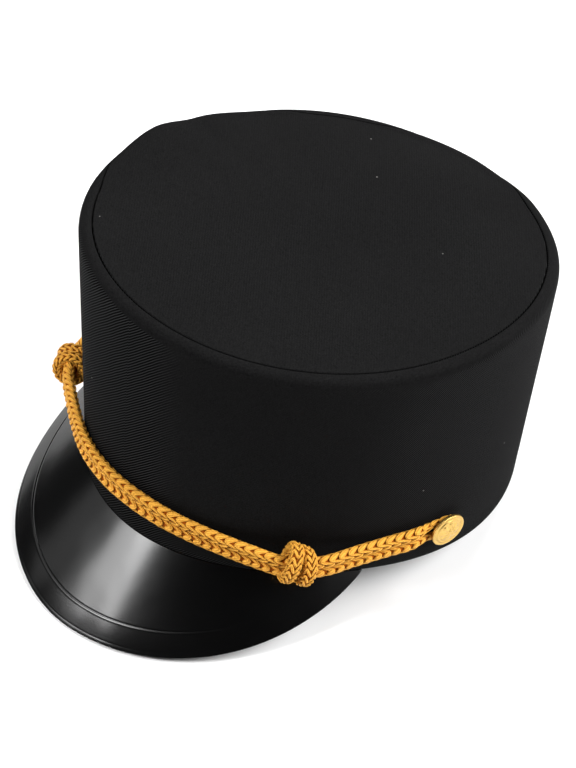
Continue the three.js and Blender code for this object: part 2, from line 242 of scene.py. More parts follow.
def edge_point(angle, reach, depth):
    """A point over the rounded top edge, reach from its start and depth into the cloth."""
    turn = np.minimum(reach / EDGE_RADIUS, math.pi / 2)
    flat = np.maximum(0, reach - ROUNDING)
    offset = (EDGE_RADIUS - depth) * np.cos(turn) - EDGE_RADIUS - flat
    return crown_point(angle, offset, WALL_HEIGHT + (EDGE_RADIUS - depth) * np.sin(turn))


def seam_reach(angle):
    return SEAM_REACH + (ROLLED_REACH - SEAM_REACH) * eased(SEAM_ROLL, angle)


def unit(vectors):
    return vectors / np.linalg.norm(vectors, axis=-1, keepdims=True)


def closed_up(values, axis=0):
    """A loop's values with the first again at the end."""
    return np.concatenate([values, np.take(values, [0], axis)], axis)


def wall_frame(angle, height):
    """The wall's own directions: outward, along it towards the wearer's left, and up it."""
    along = unit(crown_point(angle + 0.5, 0, height) - crown_point(angle - 0.5, 0, height))
    up = unit(crown_point(angle, 0, height + 0.5) - crown_point(angle, 0, height - 0.5))
    outward = unit(np.cross(along, up))
    return outward, along, np.cross(outward, along)


def at_rest(points):
    """Takes points from the hat's own frame in millimetres to where the hat rests, in metres."""
    lean = np.array(Matrix.Rotation(-REST_TILT, 3, "X"))
    placed = (points @ lean.T + np.array(REST_PLACE)) * MM
    placed[..., 2] = np.maximum(placed[..., 2], 0)
    return placed


def ripple(angle, height):
    """Slight unevenness of stiffened cloth."""
    a = np.radians(angle)
    return UNEVENNESS * (
        0.5 * np.sin(3 * a + 0.021 * height + 0.6)
        + 0.35 * np.sin(7 * a - 0.043 * height + 2.1)
        + 0.25 * np.sin(13 * a + 0.067 * height + 4.0)
    )


# ---- Mesh tools ----


def make_object(name, points, faces, uvs, material, painted_shade_heights=None):
    """Makes a smooth mesh. Points are at rest, in metres, and uvs has a row per face corner."""
    mesh = bpy.data.meshes.new(name)
    mesh.from_pydata(np.asarray(points).tolist(), [], faces)
    layer = mesh.uv_layers.new(name="cloth")
    layer.data.foreach_set("uv", np.asarray(uvs, np.float32).ravel())
    mesh.polygons.foreach_set("use_smooth", [True] * len(mesh.polygons))
    mesh.materials.append(material)
    # How far out each point is, kept as an attribute for the painted shade.
    if painted_shade_heights is not None:
        attribute = mesh.attributes.new("height", "FLOAT", "POINT")
        attribute.data.foreach_set("value", painted_shade_heights.astype(np.float32))
    mesh.validate()
    made = bpy.data.objects.new(name, mesh)
    bpy.context.scene.collection.objects.link(made)
    return made


def grid_faces(rows, columns, wrap_rows, wrap_columns):
    """Corner rows and columns of each face of a grid, going round where it wraps."""
    r, c = np.meshgrid(
        np.arange(rows if wrap_rows else rows - 1),
        np.arange(columns if wrap_columns else columns - 1),
        indexing="ij",
    )
    r, c = r.ravel(), c.ravel()
    return np.stack([r, r, r + 1, r + 1], 1), np.stack([c, c + 1, c + 1, c], 1)


def grid_object(name, grid, uv, material, wrap_rows=False, wrap_columns=False):
    """Makes a mesh of a grid of points. Its uv grid has a row or column more where it wraps.
    The ends of an unwrapped direction next to a wrapped one come together in one point."""
    rows, columns = grid.shape[:2]
    row, column = grid_faces(rows, columns, wrap_rows, wrap_columns)
    index = (row % rows) * columns + column % columns
    uvs = uv[row, column]
    if wrap_columns and not wrap_rows:
        index = np.where(row == 0, 0, index)
        index = np.where(row == rows - 1, (rows - 1) * columns, index)
    faces, corners = [], []
    for face, uv_face in zip(index.tolist(), uvs.tolist()):
        kept = [i for i in range(4) if face[i] != face[i - 1]]
        faces.append([face[i] for i in kept])
        corners.extend(uv_face[i] for i in kept)
    points = at_rest(grid.reshape(-1, 3))
    used = np.unique(np.concatenate([np.array(face) for face in faces]))
    renumber = np.zeros(len(points), int)
    renumber[used] = np.arange(len(used))
    faces = [[int(renumber[i]) for i in face] for face in faces]
    return make_object(name, points[used], faces, corners, material)


def lengths_along(points, axis):
    """How far each point of a grid is along one of its axes."""
    steps = np.linalg.norm(np.diff(points, axis=axis), axis=-1)
    start = np.zeros_like(np.take(steps, [0], axis))
    return np.concatenate([start, np.cumsum(steps, axis)], axis)


# ---- Materials ----


class Finish:
    """A material in the making: adds nodes and joins them."""

    def __init__(self, name):
        self.material = bpy.data.materials.new(name)
        self.material.use_nodes = True
        self.tree = self.material.node_tree
        self.shader = self.tree.nodes["Principled BSDF"]

    def add(self, kind, inputs=(), output=0, **settings):
        node = self.tree.nodes.new("ShaderNode" + kind)
        for key, value in settings.items():
            setattr(node, key, value)
        for key, value in dict(inputs).items():
            self.join(node.inputs[key], value)
        return node.outputs[output]

    def join(self, socket, value):
        if isinstance(value, bpy.types.NodeSocket):
            self.tree.links.new(value, socket)
        else:
            socket.default_value = value

    def set(self, **inputs):
        for key, value in inputs.items():
            self.join(self.shader.inputs[key.replace("_", " ")], value)

    def math(self, operation, first, second=0.0):
        return self.add("Math", {0: first, 1: second}, operation=operation)

    def plus(self, first, second):
        return self.math("ADD", first, second)

    def times(self, first, second):
        return self.math("MULTIPLY", first, second)

    def wave(self, turns):
        """The sine of a phase in whole turns."""
        return self.math("SINE", self.times(turns, 2 * math.pi))

    def mix(self, factor, first, second):
        return self.add(
            "Mix", {"Factor": factor, 6: first, 7: second}, output=2, data_type="RGBA"
        )

    def noise(self, scale, detail, vector):
        return self.add("TexNoise", {"Scale": scale, "Detail": detail, "Vector": vector})

    def ranged(self, value, low, high, to_low=0.0, to_high=1.0):
        return self.add("MapRange", {0: value, 1: low, 2: high, 3: to_low, 4: to_high})

    def uv(self):
        return self.add("UVMap", uv_map="cloth")

    def place(self):
        return self.add("TexCoord", output=3)


def solid(rgb):
    return (*rgb, 1.0)


def twill_finish():
    """Black twill: slanting ribs, fine threads across them and a few specks of lint. Where upright
    cloth is seen aslant, the ribs carry painted highlights over painted shade in the furrows;
    elsewhere the cloth looks calm, and cloth that faces up is painted lighter."""
    cloth = bpy.context.scene.hat_cloth
    finish = Finish("black_twill")
    uv, place = finish.uv(), finish.place()
    across = finish.add("SeparateXYZ", {0: uv})
    upward = across.node.outputs[1]
    wander = finish.ranged(finish.noise(90.0, 2.0, place), 0.3, 0.7, -0.12, 0.12)
    diagonal = math.sqrt(0.5) / cloth.rib_pitch
    phase = finish.times(finish.math("SUBTRACT", upward, across), diagonal)
    phase = finish.plus(phase, wander)
    wave = finish.wave(phase)
    threads_per_rib, slip_per_rib = 2.6, 0.37
    turned_away, lying_flat = (0.37, 0.44), (0.45, 0.8)
    # Gains of the painted rib highlights and of the painted light on the top.
    painted_highlight_gain, painted_top_light = 5.8, 1.22
    speck_size, speck_share = 0.028, 0.28
    thread_phase = finish.times(finish.plus(upward, across), diagonal * threads_per_rib)
    slip = finish.times(finish.math("FLOOR", phase), slip_per_rib)
    thread = finish.ranged(finish.wave(finish.plus(thread_phase, slip)), -1, 1)
    fuzz = finish.noise(1900.0, 2.0, place)

    # The ribs and their painted highlights come out where the cloth turns away from the view, and
    # fade where it lies flat.
    facing = finish.add("LayerWeight", {"Blend": 0.5}, output=1)
    turned = finish.ranged(facing, *turned_away)
    normal = finish.add("SeparateXYZ", {0: finish.add("TexCoord", output=1)})
    upright = finish.ranged(normal.node.outputs[2], *lying_flat, 1.0, 0.0)
    aslant = finish.times(turned, upright)
    rib_height = finish.ranged(aslant, 0, 1, 0.1, 0.6)
    height = finish.times(finish.ranged(wave, -1, 1), rib_height)
    height = finish.plus(height, finish.times(thread, 0.10))
    height = finish.plus(height, finish.times(fuzz, 0.3))
    bump = finish.add("Bump", {"Strength": 1.0, "Distance": cloth.rib_depth, "Height": height})

    # Seen aslant, the ribs are painted as bright broken lines of painted highlight over furrows of
    # painted shade.
    base = np.array(cloth.colour)
    worn = finish.noise(14.0, 3.0, place)
    tone = finish.mix(finish.ranged(worn, 0.35, 0.65), solid(base * 0.93), solid(base * 1.08))
    grain = finish.ranged(fuzz, 0.3, 0.7, 0.55, 1.45)
    calm = finish.plus(grain, finish.times(wave, 0.012))
    # Cloth that faces up is painted lighter: painted light on the top.
    calm = finish.times(calm, finish.ranged(upright, 0, 1, painted_top_light, 1.0))
    broken = finish.ranged(thread, 0, 1, 0.7, 1.15)
    painted_rib_lines = finish.times(finish.ranged(wave, 0.4, 1.0), broken)
    painted_rib_highlight = finish.times(aslant, finish.times(painted_rib_lines, painted_highlight_gain))
    dull = finish.times(finish.math("SUBTRACT", 1.0, aslant), calm)
    brightness = finish.plus(painted_rib_highlight, dull)
    cloth_with_painted_light = finish.add("VectorMath", {0: tone, "Scale": brightness}, operation="SCALE")
    cells = finish.add("TexVoronoi", {"Vector": place, "Scale": 75.0, "Randomness": 1.0})
    speck = finish.math("LESS_THAN", cells, speck_size)
    chance = finish.add("SeparateXYZ", {0: cells.node.outputs["Color"]})
    speck = finish.times(speck, finish.math("GREATER_THAN", chance, 1 - speck_share))
    finish.set(
        Base_Color=finish.mix(speck, cloth_with_painted_light, solid(cloth.lint)),
        Roughness=0.82,
        Normal=bump,
        Specular_IOR_Level=0.015,
        Sheen_Weight=0.003,
        Sheen_Roughness=0.45,
        Sheen_Tint=(0.95, 0.93, 0.92, 1),
    )
    return finish.material


def visor_finish():
    """Polished black plastic with the slight waviness of a moulding and faint rubbing."""
    finish = Finish("gloss_visor")
    place = finish.place()
    waves = finish.noise(42.0, 1.5, place)
    rubbed = finish.noise(26.0, 5.0, place)
    streaks = finish.noise(
        600.0, 3.0, finish.add("Mapping", {"Vector": place, "Scale": (1.0, 0.12, 0.12)})
    )
    bump = finish.add("Bump", {"Strength": 0.5, "Distance": 0.0004, "Height": waves})
    fine = finish.add(
        "Bump", {"Strength": 0.04, "Distance": 0.00005, "Height": streaks, "Normal": bump}
    )
    base = np.array(bpy.context.scene.hat_visor.colour)
    finish.set(
        Base_Color=finish.mix(finish.ranged(rubbed, 0.4, 0.8), solid(base), solid(base * 1.8)),
        Roughness=finish.ranged(rubbed, 0.3, 0.8, 0.17, 0.21),
        Normal=fine,
        IOR=1.43,
    )
    return finish.material


def cord_finish():
    """Knitted rayon: golden threads with a soft lustre, with painted shade, darker and redder, down
    between the stitches and between the strands of each thread.
    """
    cord = bpy.context.scene.hat_cord
    finish = Finish("knitted_gold")
    place = finish.place()
    # How far out each point is: the painted shade between the stitches follows it.
    height = finish.add("Attribute", attribute_name="height", output=2)
    along = finish.add("SeparateXYZ", {0: finish.uv()})
    around = along.node.outputs[1]
    strands, twist_per_metre = 6, 900.0
    twist = finish.times(around, strands * 2 * math.pi)
    twist = finish.plus(twist, finish.times(along, twist_per_metre))
    strand = finish.ranged(finish.math("SINE", twist), -1, 1)
    relief = finish.plus(strand, finish.noise(5200.0, 3.0, place))
    bump = finish.add("Bump", {"Strength": 1.0, "Distance": 0.0002, "Height": relief})
    light, painted_shade = np.array(cord.light), np.array(cord.painted_shade)
    patches = finish.ranged(finish.noise(160.0, 2.0, place), 0.3, 0.7)
    lit = finish.mix(patches, solid(light * 0.93), solid(np.minimum(light * 1.06, 1)))
    # Painted shade in the furrows between a thread's strands.
    painted_furrow_shade = finish.mix(0.42, lit, solid(painted_shade))
    lit = finish.mix(finish.ranged(strand, 0.0, 0.45), painted_furrow_shade, lit)
    # The colour goes to painted shade where a stitch lies deep.
    finish.set(
        Base_Color=finish.mix(finish.ranged(height, 0.12, 0.75), solid(painted_shade), lit),
        Roughness=0.5,
        Normal=bump,
        Specular_IOR_Level=0.3,
        Specular_Tint=(1.0, 0.7, 0.25, 1),
        Sheen_Weight=0.04,
        Sheen_Roughness=0.5,
        Sheen_Tint=(1.0, 0.6, 0.15, 1),
    )
    return finish.material


def gold_finish():
    """Gold-plated metal, lightly polished, with a pressed face and faint handling marks."""
    finish = Finish("gold_metal")
    place = finish.place()
    marks = finish.noise(900.0, 4.0, place)
    patches = finish.noise(240.0, 2.0, place)
    bump = finish.add("Bump", {"Strength": 0.25, "Distance": 0.00006, "Height": marks})
    base = np.array(bpy.context.scene.hat_button.colour)
    finish.set(
        Base_Color=finish.mix(finish.ranged(patches, 0.3, 0.7), solid(base), solid(base * 0.9)),
        Roughness=finish.ranged(marks, 0.3, 0.7, 0.30, 0.42),
        Metallic=1.0,
        Normal=bump,
    )
    return finish.material


def floor_finish():
    finish = Finish("pale_floor")
    paper = finish.noise(60.0, 3.0, finish.place())
    base = np.array(bpy.context.scene.hat_stage.floor)
    finish.set(
        Base_Color=finish.mix(finish.ranged(paper, 0.3, 0.7), solid(base), solid(base * 0.985)),
        Roughness=0.9,
        Specular_IOR_Level=0.2,
    )
    return finish.material


def dress(piece, slot, *nodes):
    """Makes a finished piece move with the root and hides the imported parts that it stands in for.
    Its slot is not used.
    """
    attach(piece, "root")
    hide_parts(*nodes)


# ---- Crown ----


def crown_side_grid(angles, fold):
    """The side wall's closed section round the hat: outer face, top edge, seam with its allowance
    under the top panel, inner face, hem."""
    rows = []
    half = THICKNESS / 2
    reach = seam_reach(angles)
    fold_height = 0.25
    lip_top, lip_bottom = THICKNESS + 0.25, THICKNESS + 0.75
    for height in np.linspace(fold_height, WALL_HEIGHT, 40):
        uneven = ripple(angles, height) * (height > UNEVEN_FROM)
        rows.append(crown_point(angles, uneven, height))
    for share in np.linspace(0.07, 1, 14):
        rows.append(edge_point(angles, (reach - fold) * share, 0))
    for turn in FOLD_TURNS:
        sunk = fold * (1 - math.cos(turn))
        rows.append(edge_point(angles, reach - fold + fold * math.sin(turn), sunk))
    for inward, depth in (
        (0, lip_top), (SEAM_ALLOWANCE, lip_top), (SEAM_ALLOWANCE, lip_bottom), (0, lip_bottom)
    ):
        rows.append(edge_point(angles, reach + inward, depth))
    for share in (0.8, 0.5, 0.25, 0):
        rows.append(edge_point(angles, reach * share, THICKNESS))
    for height in np.linspace(WALL_HEIGHT, fold_height, 10)[1:]:
        rows.append(crown_point(angles, -THICKNESS, height))
    for turn in np.radians((30, 60, 90, 120, 150)):
        height = fold_height * (1 - math.sin(turn))
        rows.append(crown_point(angles, -half - half * math.cos(turn), height))
    return np.array(rows)


def crown_top_grid(angles, fold):
    """The top panel from its middle out to the seam, down into it, and back underneath."""
    start = seam_reach(angles) + SEAM_GAP
    flat_reach = SEAM_REACH + SEAM_GAP + 1.0
    drop = eased(EDGE_DROP, angles)

    def panel(rest, depth):
        centre = np.array([0, -TOP_FORWARD, CROWN_HEIGHT - depth])
        edge = edge_point(angles, np.full_like(angles, flat_reach), depth)
        point = centre + (edge - centre) * rest
        point[:, 2] += drop * (rest - rest**4)
        swell = 0.5 * math.sin(math.pi * rest) ** 2
        point[:, 2] += swell + ripple(2 * angles, 40 * rest) * rest * (1 - rest)
        return point

    rows = [panel(share, 0) for share in np.linspace(0, 1, 42)]
    for share in np.linspace(0, 1, 8)[1:]:
        rows.append(edge_point(angles, flat_reach + (start + fold - flat_reach) * share, 0))
    for turn in FOLD_TURNS:
        sunk = fold * (1 - math.cos(turn))
        rows.append(edge_point(angles, start + fold * (1 - math.sin(turn)), sunk))
    rows.append(edge_point(angles, start, THICKNESS))
    for share in (0.3, 0.7, 1.0):
        rows.append(edge_point(angles, start + (flat_reach - start) * share, THICKNESS))
    rows.extend(panel(share, THICKNESS) for share in (0.85, 0.65, 0.4, 0.2, 0))
    return np.array(rows)


class HAT_OT_crown(bpy.types.Operator):
    """Makes the twill crown: its side wall and its top panel, which meet in a seam."""

    bl_idname = "hat.crown"
    bl_label = "Crown"
    segments = 480
    waist = 55.0  # the height at which the cloth's ribs have their true width

    def execute(self, context):
        cloth = context.scene.hat_cloth
        fold = cloth.fold_radius / MM
        twill = twill_finish()
        angles = np.arange(self.segments) * 360 / self.segments

        side = crown_side_grid(angles, fold)
        ring = closed_up(side, 1)
        loop = crown_point(np.append(angles, 360.0), 0, self.waist)
        around = lengths_along(loop[None], 1)[0]
        section = lengths_along(closed_up(ring), 0)[:, 0]
        u, v = np.meshgrid(around, section)
        uv = np.stack([u, v], -1) * MM
        wall = grid_object("crown_side_twill", side, uv, twill, wrap_rows=True, wrap_columns=True)
        dress(wall, "twill", "crown_side")

        top = crown_top_grid(angles, fold)
        panel_uv = closed_up(top, 1)[..., 1::-1] * (-MM, MM)
        panel = grid_object(
            "crown_top_twill", top[::-1], panel_uv[::-1], twill, wrap_columns=True
        )
        dress(panel, "twill", "crown_top")
        return {"FINISHED"}


# ---- Visor ----


def visor_reach(share):
    outline = np.maximum(0, 1 - np.abs(share) ** VISOR["outline_power"])
    return VISOR["length"] * outline ** (1 / VISOR["taper_power"])


def line(inset, middle, half_width):
    """A soft line pressed round the visor at a distance from its edge."""
    return np.exp(-(((inset - middle) / half_width) ** 2))


def visor_relief(inset, reach, share, groove_inset, groove_depth, lip_inset):
    """How far the visor's face lies below its plain cone, at a distance in from its edge. The
    border line has a low bank on its outer side, and the border falls away from it."""
    ends = smooth((reach - 24) / 3)
    lip_ends = smooth((0.885 - abs(share)) / 0.012)
    groove = line(inset, groove_inset, 0.32) - 0.4 * line(inset, groove_inset - 0.9, 0.35)
    lip = 0.02 * line(inset, lip_inset, 0.3) - 0.01 * line(inset, 0.8, 0.5)
    within = np.clip((groove_inset - inset) / groove_inset, 0, 1)
    border = 0.30 * within - 0.06 * np.sin(np.pi * within)
    return groove_depth * groove * ends + lip * lip_ends + border * smooth(reach / 30)


def visor_grid(shares, groove_inset, groove_depth, lip_inset):
    """The visor's closed section from end to end: flange, sloping face, rounded edge, back."""
    slope = math.radians(VISOR["slope"])
    thickness = VISOR["thickness"]
    angle = shares * VISOR["half_span"]
    reach = visor_reach(shares)
    hem = crown_point(angle, 0, 0)
    along = unit(crown_point(angle + 0.05, 0, 0) - hem)
    normal = np.stack([along[:, 1], -along[:, 0], np.zeros_like(shares)], 1)
    up = np.array([0, 0, 1.0])

    def at(outward, height):
        return hem + normal * np.broadcast_to(outward, shares.shape)[:, None] + np.outer(
            np.broadcast_to(height, shares.shape), up
        )

    def on_slope(distance, depth):
        return at(
            distance * math.cos(slope) - depth * math.sin(slope),
            -GAP - distance * math.sin(slope) - depth * math.cos(slope),
        )

    inside = -THICKNESS - GAP  # the flange's outer face
    flange = VISOR["flange"] + (VISOR["flange_end"] - VISOR["flange"]) * shares**4
    fit = np.minimum(1, reach / (2 * groove_inset))
    inner, edge = 13.5, 0.42  # insets between which the lines lie, and where the edge rounds
    insets = np.concatenate(
        [np.linspace(inner, 9.2, 34), np.linspace(8.6, 2.9, 9), np.linspace(2.6, edge, 15)]
    )
    rows = [at(inside, flange), at(inside, flange / 2), at(inside, 0.0), at(inside + 0.2, -GAP)]
    rows += [at(inside / 2, -GAP), at(-0.15, -GAP)]
    for share in (0, 0.006, *np.linspace(0.06, 0.985, 15)):
        rows.append(on_slope((reach - inner * fit) * share, 0))
    relief = (groove_inset, groove_depth, lip_inset)
    for inset in insets:
        distance = reach - inset * fit
        rows.append(on_slope(distance, visor_relief(inset, reach, shares, *relief) * fit))
    last = visor_relief(edge, reach, shares, *relief)
    for turn in np.radians((25, 50, 75, 90)):
        out = reach - edge * fit * (1 - math.sin(turn))
        rows.append(on_slope(out, last * math.cos(turn) + edge * (1 - math.cos(turn))))
    for turn in np.radians((90, 65, 40, 15, 0)):
        out = reach - edge * fit * (1 - math.sin(turn))
        rows.append(on_slope(out, thickness - edge * (1 - math.cos(turn))))
    knee = (-thickness + thickness * math.cos(slope)) / math.sin(slope)
    for share in np.linspace(0.94, 0, 14):
        rows.append(on_slope(knee + (reach - edge * fit - knee) * share, thickness))
    rows.append(at(inside - thickness, -GAP - thickness))
    rows += [at(inside - thickness, 0.0), at(inside - thickness, flange / 2)]
    rows.append(at(inside - thickness, flange))
    return np.array(rows)


class HAT_OT_visor(bpy.types.Operator):
    """Makes the glossy moulded visor with its border line, its lip and the flange in the hem."""

    bl_idname = "hat.visor"
    bl_label = "Visor"
    steps = 300

    def execute(self, context):
        settings = context.scene.hat_visor
        shares = np.linspace(-0.999, 0.999, self.steps + 1)
        grid = visor_grid(
            shares, settings.groove_inset / MM, settings.groove_depth / MM, settings.lip_inset / MM
        )
        columns = np.tile(np.linspace(0, 0.2, len(shares)), (len(grid) + 1, 1))
        rows = lengths_along(closed_up(grid), 0) * MM
        visor = grid_object(
            "visor_moulding", grid, np.stack([columns, rows], -1), visor_finish(), wrap_rows=True
        )
        close_ends(visor)
        dress(visor, "visor_gloss", "visor")
        return {"FINISHED"}


def close_ends(piece):
    """Closes the open ends of a tube-like mesh."""
    shape = bmesh.new()
    shape.from_mesh(piece.data)
    loose = [edge for edge in shape.edges if len(edge.link_faces) == 1]
    bmesh.ops.holes_fill(shape, edges=loose, sides=0)
    bmesh.ops.recalc_face_normals(shape, faces=shape.faces)
    shape.to_mesh(piece.data)
    shape.free()


# ---- Knitting ----


# A stitch is a thread bent into a V, with one leg steeper than the other.
TIP_ROUNDING = 0.16
LEG_CURVE = 1.35
STEEP_BEND = 0.25
STITCH_FILL = 0.405
STITCH_RINGS = 15
STITCH_SIDES = 12
STITCH_HALF_THICKNESS = 0.62
UNEVEN_START, UNEVEN_REACH, UNEVEN_SINK = 0.12, 0.04, 0.05
# Within the stitches lies a plain core, coloured all in painted shade.
CORE_SIDES = 14
CORE_SINK = 1.05
CORE_STEP = 2.4
# Along a stitch, from the steep leg's end over the tip to the long leg's end.
STITCH_PLACES = (-1.0, -0.85, -0.5, -0.15, 0.0, 0.15, 0.5, 0.85, 1.0)
STITCH_WIDTH = (0.66, 0.95, 1.0, 0.97, 0.92, 0.97, 1.0, 0.88, 0.5)
STITCH_SINK = (0.95, 0.60, 0.50, 0.52, 0.60, 0.57, 0.58, 0.85, 1.30)

# Columns of stitches round a strand: where the V's middle is, in degrees from its outward side,
# then the arc in degrees and the reach in pitches of the steep leg, and those of the long leg.
UPPER_STITCHES = ((-45, 88, 1.05, 46, 1.35), (64, 63, 1.0, 50, 1.5), (177, 63, 1.0, 50, 1.5))
LOWER_STITCHES = ((36, 48, 0.5, 56, 1.25), (162, 70, 1.0, 58, 1.5), (290, 70, 1.0, 58, 1.5))
KNOT_STITCHES = tuple((middle, 46, 1.0, 44, 1.3) for middle in (-45, 45, 135, 225))


def knit(route, facing, half_width, half_thickness, stitches, pitch, seed, closed=False):
    """Knits a strand along a route, and gives its points, faces, uvs and how far out each point is,
    which sets the painted shade between the stitches.

    facing is the strand's outward direction at each point of the route. Each column of stitches
    is a chain of Vs that point back along the route, given by its row of five values, which may
    change along the route."""
    random = np.random.default_rng(seed)
    if closed:
        route, facing = closed_up(route), closed_up(facing)
    travelled = lengths_along(route[None], 1)[0]
    total = travelled[-1]
    count = int(round(total / pitch))
    pitch = total / count
    if closed:
        before, after = np.roll(route[:-1], 1, 0), np.roll(route[:-1], -1, 0)
        tangent = closed_up(unit(after - before))
    else:
        tangent = unit(np.gradient(route, travelled, axis=0))
    facing = unit(facing - tangent * (facing * tangent).sum(1)[:, None])
    side = np.cross(tangent, facing)
    half_width = np.broadcast_to(half_width, travelled.shape)
    half_thickness = np.broadcast_to(half_thickness, travelled.shape)

    def kept(distance):
        return np.mod(distance, total) if closed else np.clip(distance, 0, total)

    def read(values, distance):
        return np.interp(kept(distance), travelled, values)

    def surface(distance, turn, sink):
        """Points on the strand, sunk below its surface, with the surface's outward direction."""
        wide = read(half_width, distance)[..., None]
        thick = read(half_thickness, distance)[..., None]
        across, away, middle = (
            np.stack([read(column, distance) for column in table.T], -1)
            for table in (side, facing, route)
        )
        sine, cosine = np.sin(turn)[..., None], np.cos(turn)[..., None]
        out = unit(across * sine * thick + away * cosine * wide)
        fit = np.minimum(wide, thick) * 2 / CORD_DIAMETER
        skin = middle + across * sine * wide + away * cosine * thick
        return skin - out * sink[..., None] * np.minimum(fit, 1), out

    rings, sides = STITCH_RINGS, STITCH_SIDES
    place = np.linspace(-1, 1, rings)
    steep = place < 0
    share = np.abs(place) ** LEG_CURVE
    run = np.hypot(share, TIP_ROUNDING) - TIP_ROUNDING
    run /= math.hypot(1, TIP_ROUNDING) - TIP_ROUNDING
    bent = (1 - STEEP_BEND) * run + STEEP_BEND * np.sin(run * math.pi / 2)
    profile = np.interp(place, STITCH_PLACES, STITCH_WIDTH)
    sink = np.interp(place, STITCH_PLACES, STITCH_SINK)
    around = -np.arange(sides) * 2 * math.pi / sides
    points, painted_shade_heights, uvs = [], [], []
    for order, column in enumerate(stitches):
        column = np.broadcast_to(np.asarray(column, float), (len(travelled), 5))
        uneven = random.uniform(-1, 1, (3, count, 1))
        start = (np.arange(count) + order / len(stitches))[:, None] * pitch
        start = start + uneven[0] * UNEVEN_START
        turn, steep_arc, steep_reach, long_arc, long_reach = (read(v, start) for v in column.T)
        ahead = np.where(steep, steep_reach * bent, long_reach * run) * pitch
        distance = start + ahead * (1 + UNEVEN_REACH * uneven[1])
        turn = np.radians(turn + np.where(steep, -steep_arc, long_arc) * share)
        middle, out = surface(distance, turn, sink[None] + uneven[2] * UNEVEN_SINK)
        forward = unit(np.gradient(middle, axis=1))
        lateral = unit(np.cross(forward, out))
        out = np.cross(lateral, forward)
        radius = (read(half_width, start) + read(half_thickness, start)) / 2
        steep_slope = np.arctan2(radius * np.radians(steep_arc), steep_reach * pitch)
        long_slope = np.arctan2(radius * np.radians(long_arc), long_reach * pitch)
        blend = smooth((place + 0.25) / 0.5)
        body = STITCH_FILL * pitch * profile * (
            np.sin(steep_slope) * (1 - blend) + np.sin(long_slope) * blend
        )
        wide = lateral[:, :, None] * np.cos(around)[:, None] * body[..., None, None]
        fit = np.minimum(read(half_thickness, distance)[..., None, None] * 2 / CORD_DIAMETER, 1)
        tall = out[:, :, None] * np.sin(around)[:, None] * STITCH_HALF_THICKNESS * fit
        ring = middle[:, :, None] + wide + tall
        # How far out the stitch's surface is, for the painted shade: low on its inner side and
        # where it sinks.
        top = 0.5 + 0.5 * np.sin(around)[None] - 0.5 * (sink - sink.min())[:, None]
        length = lengths_along(middle, 1)[:, :, None] * MM
        points.append(ring.reshape(-1, 3))
        painted_shade_heights.append(np.broadcast_to(top, ring.shape[:3]).ravel())
        uv = np.broadcast_arrays(length, around / (2 * math.pi))
        uvs.append(np.stack(uv, -1).reshape(-1, 2))
    points = np.concatenate(points)
    painted_shade_heights = np.clip(np.concatenate(painted_shade_heights), 0, 1)
    uv = np.concatenate(uvs)
    first = np.arange(len(points) // (sides * rings))[:, None] * sides * rings
    r, c = grid_faces(rings, sides, False, True)
    quads = (first[:, :, None] + (r * sides + c % sides)[None]).reshape(-1, 4)
    ends = [first + np.arange(sides)[::-1], first + (rings - 1) * sides + np.arange(sides)]
    faces = quads.tolist() + ends[0].tolist() + ends[1].tolist()
    corners = uv[np.concatenate([quads.ravel(), ends[0].ravel(), ends[1].ravel()])]

    steps = np.linspace(0, total, max(8, int(total / CORE_STEP)) + 1)
    if closed:
        steps = steps[:-1]
    rows = len(steps)
    core_turn = np.arange(CORE_SIDES) * 2 * math.pi / CORE_SIDES
    distance, turn = np.meshgrid(steps, core_turn, indexing="ij")
    core, _ = surface(distance, turn, np.full(turn.shape, CORE_SINK))
    base = len(points)
    r, c = grid_faces(rows, CORE_SIDES, closed, True)
    faces += (base + (r % rows) * CORE_SIDES + c % CORE_SIDES).tolist()
    corners = np.concatenate([corners, np.stack([r, c], -1).reshape(-1, 2) * 0.01])
    if not closed:
        ring = np.arange(CORE_SIDES)
        faces += [(base + ring[::-1]).tolist(), (base + (rows - 1) * CORE_SIDES + ring).tolist()]
        corners = np.concatenate([corners, np.zeros((2 * CORE_SIDES, 2))])
    points = np.concatenate([points, core.reshape(-1, 3)])
    # The core is all painted shade.
    painted_shade_heights = np.concatenate([painted_shade_heights, np.zeros(rows * CORE_SIDES)])
    return points, faces, corners, painted_shade_heights


def knitted_object(name, strands, material):
    """Joins knitted strands in one piece."""
    points, faces, corners, painted_shade_heights, base = [], [], [], [], 0
    for strand_points, strand_faces, strand_uv, strand_heights in strands:
        points.append(strand_points)
        faces += [[index + base for index in face] for face in strand_faces]
        corners.append(strand_uv)
        painted_shade_heights.append(strand_heights)
        base += len(strand_points)
    return make_object(
        name, at_rest(np.concatenate(points)), faces, np.concatenate(corners), material,
        np.concatenate(painted_shade_heights),
    )


# ---- Cord ----


def cubic(angles, values, x):
    """The smooth curve through a table's points that the cord's solid follows too."""
    slopes = np.empty_like(values)
    slopes[1:-1] = (values[2:] - values[:-2]) / (angles[2:] - angles[:-2])
    slopes[0], slopes[-1] = slopes[1], slopes[-2]
    i = np.clip(np.searchsorted(angles, x) - 1, 0, len(angles) - 2)
    width = angles[i + 1] - angles[i]
    t = (x - angles[i]) / width
    return (
        values[i] * (1 + 2 * t) * (1 - t) ** 2
        + slopes[i] * width * t * (1 - t) ** 2
        + values[i + 1] * t * t * (3 - 2 * t)
        + slopes[i + 1] * width * t * t * (t - 1)
    )


def cord_column(column, angle):
    """The cord's rise, standoff or thickness at an angle, alike on both sides of the front."""
    rows = np.array(CORD_ROUTE, float)
    mirrored = rows[:0:-1] * np.array([-1, 1, 1, 1])
    rows = np.concatenate([mirrored, rows])
    return cubic(rows[:, 0], rows[:, column], np.asarray(angle, float))


def cord_middle(angle):
    return wall_point(angle, cord_column(1, angle), cord_column(2, angle))


